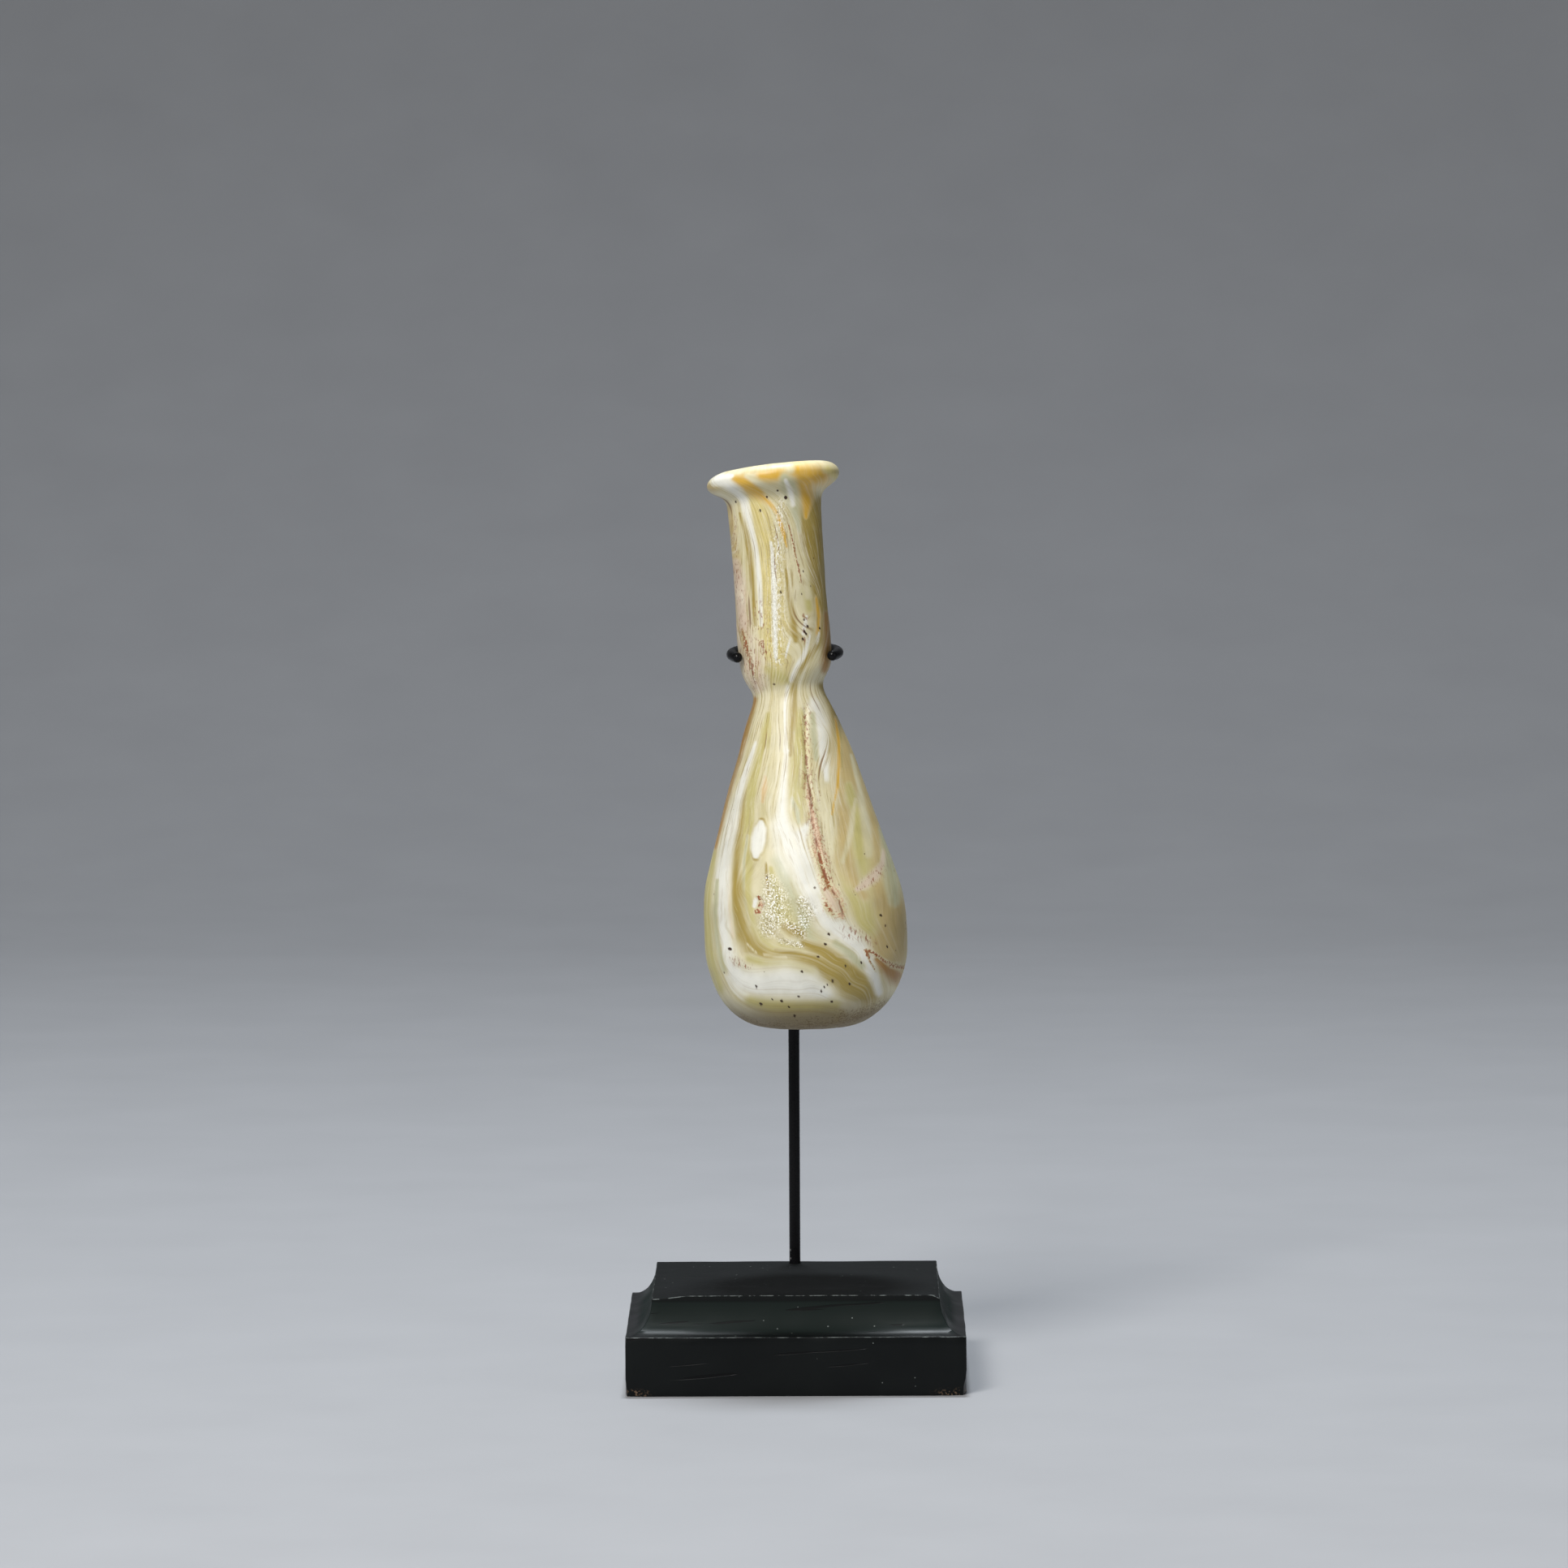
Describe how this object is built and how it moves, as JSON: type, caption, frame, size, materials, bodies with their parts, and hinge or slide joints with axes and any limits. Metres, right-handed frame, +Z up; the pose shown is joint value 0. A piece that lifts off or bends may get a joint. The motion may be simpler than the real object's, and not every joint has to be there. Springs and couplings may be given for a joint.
{
  "type": "roman glass bottle",
  "caption": "Blown marbled glass perfume bottle with a pear-shaped body, pinched waist, tubular neck and turned-out lip, held by a wire clasp on a rod and square wooden base.",
  "frame": {"origin": "middle of the underside of the square wooden base", "axes": "+Z up, +X to the viewer's right, -Y towards the viewer, away from the rod"},
  "size_m": [0.06, 0.06, 0.1632],
  "materials": {
    "marbled_glass": "weathered gloss, opaque",
    "black_paint": "satin",
    "ebonised_wood": "satin"
  },
  "bodies": {
    "root": {"wooden_base": "ebonised_wood", "support_rod": "black_paint", "neck_clasp": "black_paint", "glass_bottle": "marbled_glass"}
  },
  "joints": []
}
